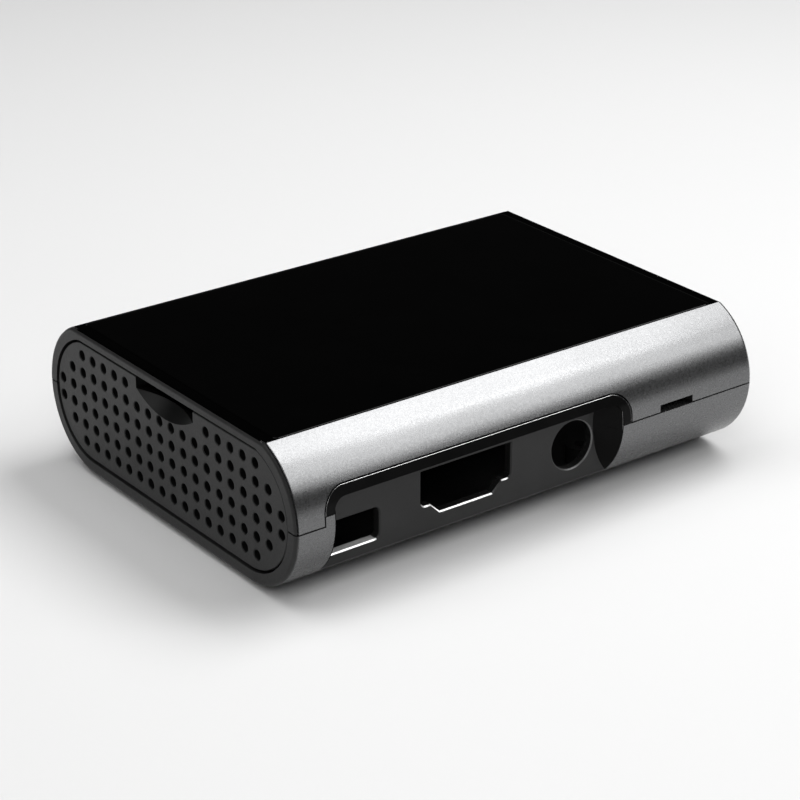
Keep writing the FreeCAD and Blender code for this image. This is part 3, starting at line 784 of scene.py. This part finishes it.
def notch_cutters(tree, got):
    """The notch's window above its ledge, and the bowl that scoops the ledge out."""
    block = add(tree, "GeometryNodeMeshCube", {
        "Size": vector(tree, got["Cut depth"], got["Notch width"], got["Cut depth"])})
    half_cut = half(tree, got["Cut depth"])
    window, below = (
        moved(tree, block.outputs["Mesh"],
              vector(tree, got["Front"], 0.0, calc(tree, side, got["Ledge"], half_cut)))
        for side in ("ADD", "SUBTRACT"))
    ball = add(tree, "GeometryNodeMeshUVSphere", {"Radius": got["Bowl radius"]},
               Segments=BALL_SIDES, Rings=BALL_SIDES // 2)
    bowl = moved(tree, ball.outputs["Mesh"],
                 vector(tree, got["Bowl front"], 0.0, got["Bowl height"]))
    return window, boolean(tree, "INTERSECT", below, bowl)


def perforation_nodes():
    """Cuts rows of round holes with bevelled mouths, a notch and its scoop out of a closed plate.

    The holes stand on a grid whose four corners are cut off in steps, and the notch takes the
    middle of the top row.
    """
    numbers = (
        "Hole radius", "Mouth", "Span", "Rise", "Front", "Middle", "Reach", "Notch width",
        "Ledge", "Bowl radius", "Bowl front", "Bowl height", "Cut depth",
    )
    inputs = [("Geometry", "Geometry"), ("Columns", "Int"), ("Rows", "Int"),
              ("Material", "Material")] + [(label, "Float") for label in numbers]
    tree, got, result = new_nodes("Perforated plate", inputs)
    cutters = hole_cutters(tree, got)
    cut = boolean(tree, "DIFFERENCE", got["Geometry"], *notch_cutters(tree, got), *cutters)
    return close_nodes(tree, cut, got["Material"], result)


def foot_nodes():
    """Stands one foot on each corner of a rectangle."""
    tree, got, result = new_nodes("Feet", (
        ("Geometry", "Geometry"), ("Length", "Float"), ("Width", "Float"),
        ("Material", "Material")))
    corners = add(tree, "GeometryNodeMeshGrid", {"Size X": got["Length"], "Size Y": got["Width"]},
                  **{"Vertices X": 2, "Vertices Y": 2})
    feet = add(tree, "GeometryNodeInstanceOnPoints", {
        "Points": corners.outputs["Mesh"], "Instance": got["Geometry"]})
    return close_nodes(tree, feet.outputs["Instances"], got["Material"], result)


# Grille

def end_outline(inset, top_inset):
    """Points (y, z) of the case's end outline, in metres, taken in by both insets.

    They run from the foot of the far side up, over the top and down the port side.
    """
    radius = SIDE_RADIUS - inset
    high = asin((DECK_TOP - top_inset - SEAM) / radius)
    right = []
    for step in range(ARC_STEPS + 1):
        angle = -pi / 2 + (high + pi / 2) * step / ARC_STEPS
        right.append((ARC_Y + radius * cos(angle), SEAM + radius * sin(angle)))
    points = right + [(-y, z) for y, z in reversed(right)]
    return [(y * MM, z * MM) for y, z in points]


def plate_blank(sizes):
    """The grille plate before its holes: a bevelled plate with a rim behind it, closed all round.

    Each station is a distance behind the plate's front with the insets of its outline there.
    """
    inset, drop = sizes.plate_inset / MM, sizes.plate_drop / MM
    rim, bevel = sizes.flange_height / MM, sizes.hole_bevel / MM
    depth, flange = sizes.plate_depth / MM, sizes.flange_depth / MM
    rim_drop = drop + 0.02
    stations = (
        (0.0, inset + bevel, drop + bevel),
        (bevel, inset, drop),
        (depth, inset, drop),
        (depth, inset - rim, rim_drop),
        (depth + flange, inset - rim, rim_drop),
        (depth + flange, inset + rim, drop + rim),
        (depth, inset + rim, drop + rim),
    )
    work = bmesh.new()
    loops = []
    for back, side, top in stations:
        x = (GRILLE_FRONT + back) * MM
        loops.append([work.verts.new((x, y, z)) for y, z in end_outline(side, top)])
    for first, second in zip(loops, loops[1:]):
        for index in range(len(first)):
            after = (index + 1) % len(first)
            work.faces.new((first[index], first[after], second[after], second[index]))
    work.faces.new(loops[0])
    work.faces.new(loops[-1])
    return closed_mesh(work, "grille_plate")


def perforation_sizes(sizes, material):
    """The values of the perforation tree's inputs.

    The scoop is part of a ball. Its edge on the plate's front is an arc as wide and as deep as
    the scoop, and its edge on the ledge reaches as far back as the scoop does.
    """
    wide, drop, reach = sizes.scoop_width / 2, sizes.scoop_drop, sizes.scoop_reach
    front_radius = (wide * wide + drop * drop) / (drop * 2)
    ahead = (wide * wide - reach * reach) / (reach * 2)
    front, foot = GRILLE_FRONT * MM, UNDERSIDE * MM
    return {
        "Columns": sizes.columns, "Rows": sizes.rows, "Reach": sizes.corner_reach,
        "Material": material,
        "Hole radius": sizes.hole_diameter / 2, "Mouth": sizes.hole_bevel,
        "Span": (HALF_WIDTH * MM - sizes.hole_margin) * 2,
        "Rise": sizes.row_high - sizes.row_low,
        "Front": front,
        "Middle": foot + (sizes.row_high + sizes.row_low) / 2,
        "Notch width": sizes.notch_width, "Ledge": foot + sizes.notch_ledge,
        "Bowl radius": sqrt(front_radius * front_radius + ahead * ahead),
        "Bowl front": front - ahead,
        "Bowl height": foot + sizes.notch_ledge - drop + front_radius,
        "Cut depth": HOLE_CUT * MM,
    }


def shade_hollows(mesh, sizes, material):
    """Give the scoop and the walls of the holes the strip's darker gloss, as painted shade in the
    hollows.
    """
    mesh.materials.append(material)
    scoop_foot = UNDERSIDE + (sizes.notch_ledge - sizes.scoop_drop) / MM
    half_scoop = sizes.scoop_width / 2 / MM
    for polygon in mesh.polygons:
        centre, normal = polygon.center / MM, polygon.normal
        under_notch = centre.z > scoop_foot and abs(centre.y) < half_scoop
        hollow = abs(normal.x) < 0.2 or (under_notch and normal.x < -0.2)
        if centre.x > GRILLE_FRONT + 0.02 and hollow:
            polygon.material_index = 1


class CASE_OT_grille(bpy.types.Operator):
    """Front plate with rows of round holes and a finger notch"""
    bl_idname = "case.grille"
    bl_label = "Front grille"

    def execute(self, context):
        sizes, colours = settings(context)
        satin = satin_plastic("grille satin", colours.grille)
        obj = link("grille_plate", plate_blank(sizes))
        obj.data.materials.append(satin)
        with_nodes(obj, perforation_nodes(), perforation_sizes(sizes, satin))
        if len(obj.data.polygons) < FEWEST_FACES:
            raise RuntimeError("the grille's holes were not cut")
        smooth(obj.data, ROUND_EDGE)
        # Painted shade: the scoop and the holes' walls get a darker colour than the grille.
        shade_hollows(obj.data, sizes, gloss_plastic("hollow painted shade", colours.strip, 0.3, 0.15))
        finish_piece(obj, "base", ("front_grille",), ())
        return {"FINISHED"}


# Feet

def foot_mesh(radius, height, edge, dish):
    """One foot, turned about Z: rounded lower edge, a shallow dish under it, flat top."""
    outline = [(0.0, dish), (radius * DISH_FLAT, dish), (radius * DISH_RIM, 0.0)]
    for step in range(FOOT_EDGE_STEPS + 1):
        angle = pi / 2 * step / FOOT_EDGE_STEPS
        outline.append((radius - edge + edge * sin(angle), edge - edge * cos(angle)))
    outline += [(radius, height), (0.0, height)]
    work = bmesh.new()
    rings = []
    for r, z in outline:
        ring = []
        for index in range(1 if r == 0.0 else FOOT_SIDES):
            angle = 2 * pi * index / FOOT_SIDES
            ring.append(work.verts.new((r * cos(angle), r * sin(angle), z)))
        rings.append(ring)
    for first, second in zip(rings, rings[1:]):
        for index in range(FOOT_SIDES):
            after = (index + 1) % FOOT_SIDES
            quad = [first[index % len(first)], first[after % len(first)],
                    second[after % len(second)], second[index % len(second)]]
            work.faces.new(list(dict.fromkeys(quad)))
    return closed_mesh(work, "feet")


class CASE_OT_feet(bpy.types.Operator):
    """Four round rubber feet"""
    bl_idname = "case.feet"
    bl_label = "Feet"

    def execute(self, context):
        sizes, colours = settings(context)
        names = [f"foot_{number}" for number in range(1, 5)]
        low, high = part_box("foot_4")
        centre = (low + high) / 2
        soft = rubber("foot rubber", colours.rubber)
        radius, height = (high.x - low.x) / 2, high.z - low.z
        obj = link("feet", foot_mesh(radius, height, sizes.foot_edge, sizes.foot_dish))
        obj.data.materials.append(soft)
        with_nodes(obj, foot_nodes(), {
            "Length": centre.x * 2, "Width": centre.y * 2, "Material": soft})
        smooth(obj.data, ROUND_EDGE)
        finish_piece(obj, "base", names, ())
        return {"FINISHED"}


# Stage

def add_floor(tint):
    mesh = bpy.data.meshes.new("floor")
    near, far = -FLOOR_REACH, FLOOR_REACH
    mesh.from_pydata([(near, near, 0), (far, near, 0), (far, far, 0), (near, far, 0)],
                     [], [(0, 1, 2, 3)])
    floor = link("floor", mesh)
    floor.data.materials.append(matte_floor("floor matte", tint))


def add_world(scene):
    world = bpy.data.worlds.new("studio")
    world.use_nodes = True
    background = world.node_tree.nodes["Background"]
    background.inputs["Color"].default_value = (1.0, 1.0, 1.0, 1.0)
    background.inputs["Strength"].default_value = WORLD_STRENGTH
    scene.world = world


def add_softbox(name, place, target, width, depth, power):
    data = bpy.data.lights.new(name, "AREA")
    data.shape = "RECTANGLE"
    data.size = width
    data.size_y = depth
    data.energy = power
    lamp = link(name, data)
    lamp.location = place
    lamp.rotation_euler = (Vector(target) - Vector(place)).to_track_quat("-Z", "Y").to_euler()


def add_camera(scene):
    data = bpy.data.cameras.new("camera")
    data.sensor_width = SENSOR_WIDTH
    data.lens = SENSOR_WIDTH * FOCAL_PIXELS / FRAME_PIXELS
    data.clip_start = 0.01
    camera = link("camera", data)
    turn = Matrix((CAMERA_RIGHT, CAMERA_UP, CAMERA_BACK)).transposed().to_4x4()
    camera.matrix_world = Matrix.Translation(CAMERA_PLACE) @ turn
    scene.camera = camera


class CASE_OT_stage(bpy.types.Operator):
    """Floor, soft studio lights and the camera"""
    bl_idname = "case.stage"
    bl_label = "Stage"

    def execute(self, context):
        scene = context.scene
        add_floor(scene.case_colours.floor)
        add_world(scene)
        for softbox in SOFTBOXES:
            add_softbox(*softbox)
        add_camera(scene)
        scene.view_settings.view_transform = "Standard"
        return {"FINISHED"}


class CASE_PT_panel(bpy.types.Panel):
    """Lists the case's steps, sizes and colours"""
    bl_label = "Board case"
    bl_idname = "CASE_PT_panel"
    bl_space_type = "VIEW_3D"
    bl_region_type = "UI"
    bl_category = "Case"

    def draw(self, context):
        for step in STEPS:
            self.layout.operator(step.bl_idname)
        for group in settings(context):
            for key in group.bl_rna.properties.keys():
                if key not in ("rna_type", "name"):
                    self.layout.prop(group, key)


STEPS = (
    CASE_OT_base, CASE_OT_cover, CASE_OT_deck, CASE_OT_grille,
    CASE_OT_rear, CASE_OT_ports, CASE_OT_feet, CASE_OT_stage,
)
CLASSES = (CaseSizes, CaseColours, CASE_PT_panel) + STEPS


def register():
    for kind in CLASSES:
        bpy.utils.register_class(kind)
    bpy.types.Scene.case_sizes = bpy.props.PointerProperty(type=CaseSizes)
    bpy.types.Scene.case_colours = bpy.props.PointerProperty(type=CaseColours)


def unregister():
    del bpy.types.Scene.case_colours
    del bpy.types.Scene.case_sizes
    for kind in reversed(CLASSES):
        bpy.utils.unregister_class(kind)


def main():
    for obj in [o for o in bpy.context.scene.objects if o.name in ("Cube", "Light", "Camera")]:
        bpy.data.objects.remove(obj)
    register()
    for step in STEPS:
        family, action = step.bl_idname.split(".")
        getattr(getattr(bpy.ops, family), action)()


if __name__ == "__main__":
    main()
